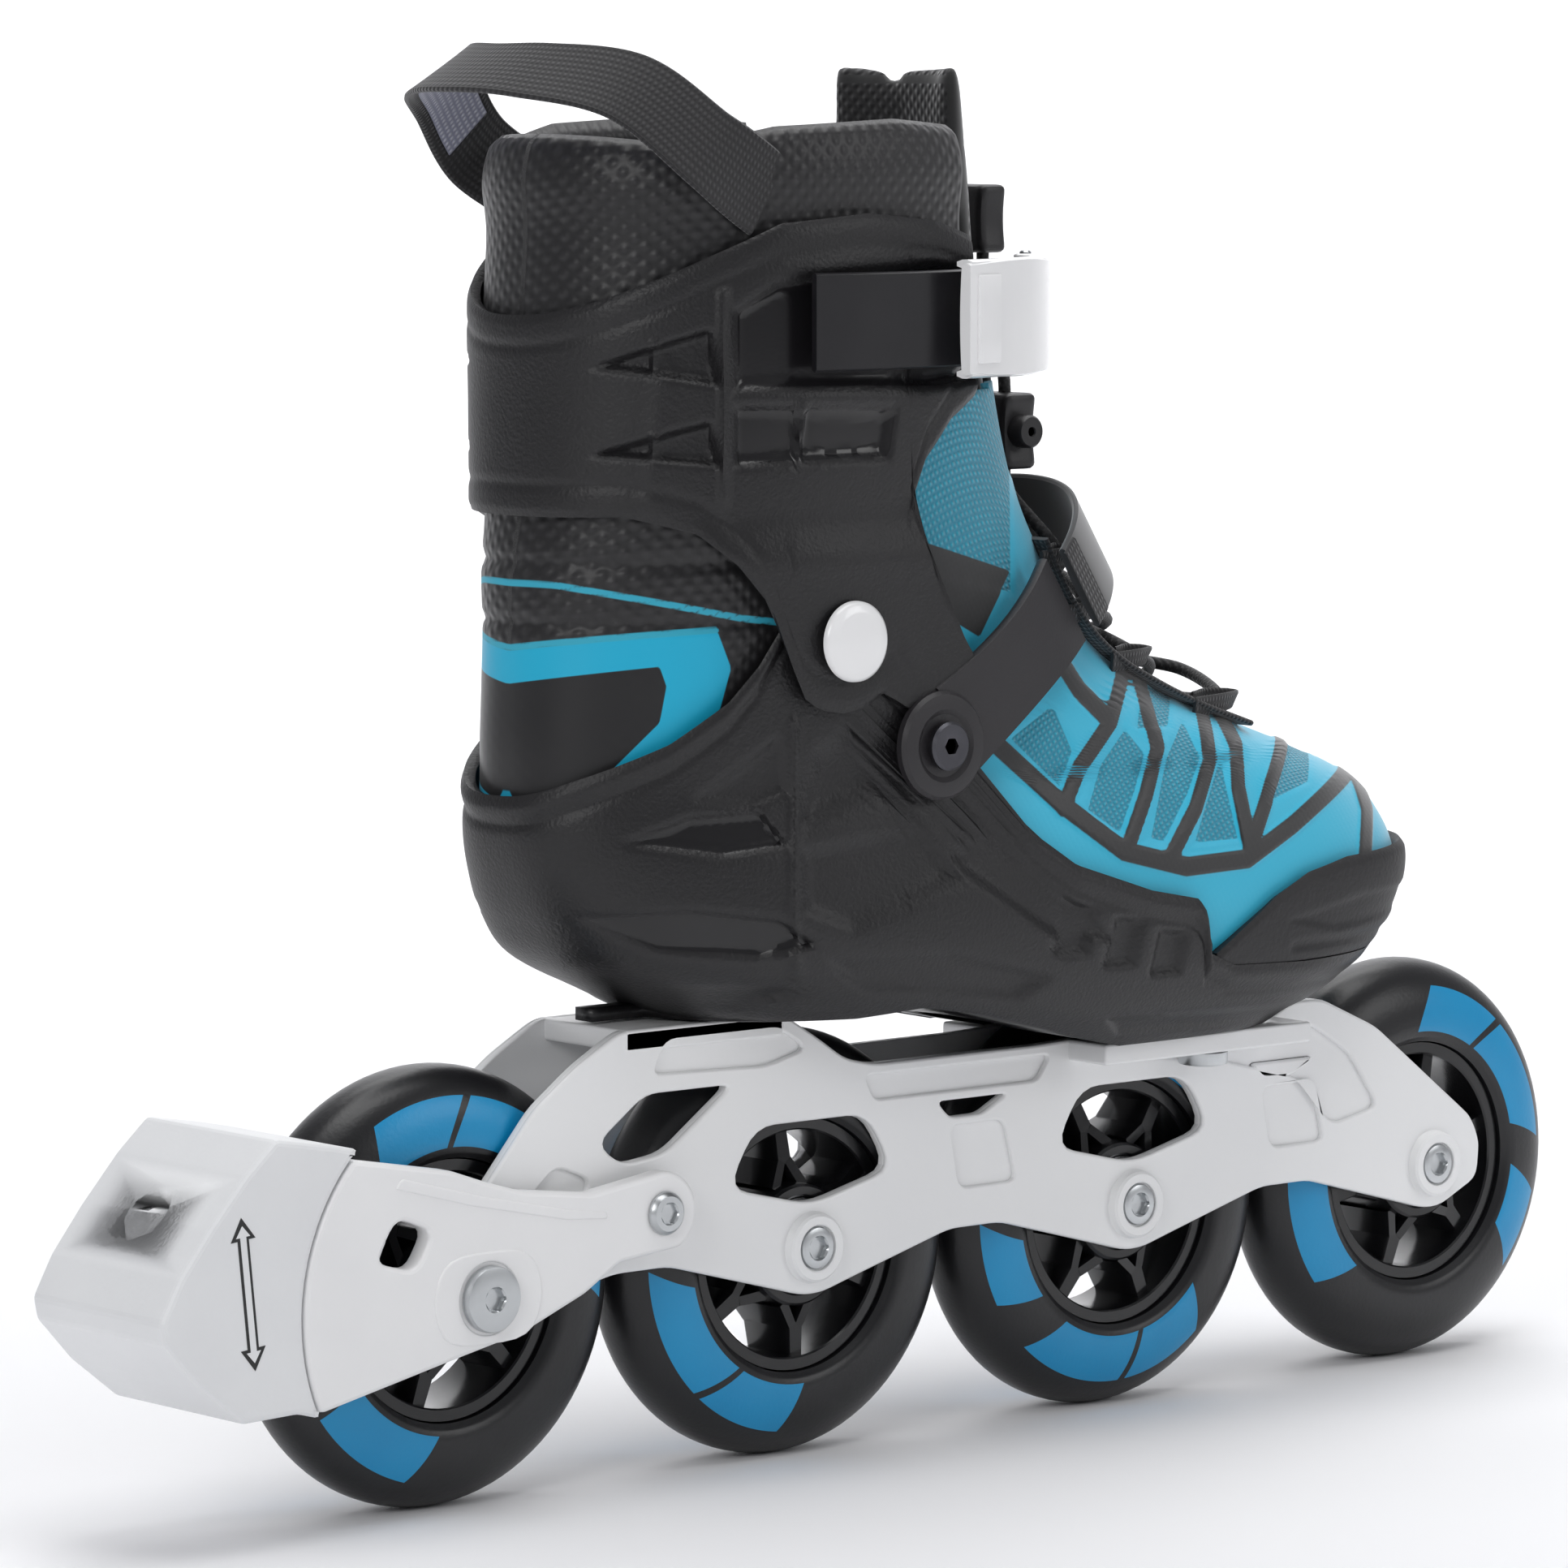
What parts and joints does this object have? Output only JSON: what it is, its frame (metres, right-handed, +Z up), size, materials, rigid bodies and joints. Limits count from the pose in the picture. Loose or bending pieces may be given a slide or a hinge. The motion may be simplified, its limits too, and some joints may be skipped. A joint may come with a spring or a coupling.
{
  "type": "inline skates",
  "caption": "Right-foot inline skate with a hinged-cuff soft boot, a buckle strap, quick laces, a white alloy frame and a heel brake.",
  "frame": {"origin": "on the ground under the middle of the skate's length, in the frame's middle plane", "axes": "+X to the toe, +Y to the inner side of the foot, +Z up"},
  "size_m": [0.444, 0.1114, 0.3274],
  "materials": {
    "tyre_rubber": "satin",
    "hub_nylon": "gloss",
    "bearing_shield": "satin",
    "zinc_steel": "satin",
    "frame_paint": "satin",
    "brake_arm_plastic": "satin",
    "brake_pad_rubber": "matte",
    "brake_nut": "matte",
    "shell_plastic": "grained",
    "rivet_plastic": "gloss",
    "toe_cap_plastic": "grained",
    "upper_fabric": "woven",
    "liner_fabric": "knitted",
    "tongue_fabric": "woven",
    "insole_fabric": "felt",
    "webbing": "woven",
    "buckle_plastic": "gloss",
    "lever_plastic": "gloss",
    "strap_plastic": "satin",
    "screw_black": "satin",
    "lace_cord": "braided",
    "lock_plastic": "satin"
  },
  "bodies": {
    "boot": {"frame": "frame_paint", "mount_bolt_rear": "zinc_steel", "mount_bolt_front_right": "zinc_steel", "mount_bolt_front_left": "zinc_steel", "axle_bolt_1": "zinc_steel", "axle_bolt_2": "zinc_steel", "axle_bolt_3": "zinc_steel", "axle_bolt_4": "zinc_steel", "bearing_spacer_1": "zinc_steel", "bearing_spacer_2": "zinc_steel", "bearing_spacer_3": "zinc_steel", "bearing_spacer_4": "zinc_steel", "brake_arm": "brake_arm_plastic", "brake_bolt_right": "zinc_steel", "brake_bolt_left": "zinc_steel", "shell": "shell_plastic", "cuff_rivet_right": "rivet_plastic", "cuff_rivet_left": "rivet_plastic", "toe_cap": "toe_cap_plastic", "textile_upper": "upper_fabric", "liner": "liner_fabric", "tongue": "tongue_fabric", "insole": "insole_fabric", "instep_plate_right": "strap_plastic", "instep_plate_left": "strap_plastic", "instep_screw_right": "screw_black", "instep_screw_left": "screw_black", "instep_strap": "webbing", "lace_stay_right": "webbing", "lace_stay_left": "webbing", "lace": "lace_cord", "lace_puller": "lock_plastic"},
    "brake_stop": {"brake_pad": "brake_pad_rubber", "brake_pad_screw": "zinc_steel", "brake_pad_nut": "brake_nut"},
    "ankle_cuff": {"cuff": "shell_plastic", "buckle_base": "buckle_plastic", "buckle_pin": "zinc_steel", "ladder_strap": "strap_plastic", "pull_loop": "webbing"},
    "lever": {"buckle_lever": "lever_plastic"},
    "pawl": {"buckle_pawl": "zinc_steel"},
    "lock": {"lace_lock": "lock_plastic"},
    "button": {"lace_lock_button": "lock_plastic"},
    "wheel_1": {"tyre_1": "tyre_rubber", "hub_1": "hub_nylon", "bearing_1_right": "bearing_shield", "bearing_1_left": "bearing_shield"},
    "wheel_2": {"tyre_2": "tyre_rubber", "hub_2": "hub_nylon", "bearing_2_right": "bearing_shield", "bearing_2_left": "bearing_shield"},
    "wheel_3": {"tyre_3": "tyre_rubber", "hub_3": "hub_nylon", "bearing_3_right": "bearing_shield", "bearing_3_left": "bearing_shield"},
    "wheel_4": {"tyre_4": "tyre_rubber", "hub_4": "hub_nylon", "bearing_4_right": "bearing_shield", "bearing_4_left": "bearing_shield"}
  },
  "joints": [
    {"name": "wheel_spin_1", "type": "hinge", "parent": "boot", "child": "wheel_1", "pos_m": [-0.133, 0, 0.05], "axis": [0, 1, 0], "continuous": true},
    {"name": "wheel_spin_2", "type": "hinge", "parent": "boot", "child": "wheel_2", "pos_m": [-0.03133, 0, 0.05], "axis": [0, 1, 0], "continuous": true},
    {"name": "wheel_spin_3", "type": "hinge", "parent": "boot", "child": "wheel_3", "pos_m": [0.07033, 0, 0.05], "axis": [0, 1, 0], "continuous": true},
    {"name": "wheel_spin_4", "type": "hinge", "parent": "boot", "child": "wheel_4", "pos_m": [0.172, 0, 0.05], "axis": [0, 1, 0], "continuous": true},
    {"name": "brake_height", "type": "hinge", "parent": "boot", "child": "brake_stop", "pos_m": [-0.133, 0, 0.05], "axis": [0, 1, 0], "range_deg": [-5, 5]},
    {"name": "cuff_flex", "type": "hinge", "parent": "boot", "child": "ankle_cuff", "pos_m": [-0.046, 0, 0.193], "axis": [0, 1, 0], "range_deg": [-4, 5], "stiffness_Nm_per_rad": 25, "deforming": ["liner", "tongue", "textile_upper", "lace"]},
    {"name": "buckle_open", "type": "hinge", "parent": "ankle_cuff", "child": "lever", "pos_m": [0.02485, -0.02658, 0.265], "axis": [0, 0, 1], "range_deg": [0, 90]},
    {"name": "pawl_lift", "type": "hinge", "parent": "ankle_cuff", "child": "pawl", "pos_m": [0.01154, -0.04038, 0.265], "axis": [0, 0, 1], "range_deg": [0, 6], "stiffness_Nm_per_rad": 0.05},
    {"name": "lace_lock_slide", "type": "slide", "parent": "boot", "child": "lock", "axis": [0, 0, 1], "range_m": [-0.003, 0.003]},
    {"name": "lock_button_press", "type": "slide", "parent": "lock", "child": "button", "axis": [0, 1, 0], "range_m": [0, 0.0025], "stiffness_N_per_m": 600}
  ]
}
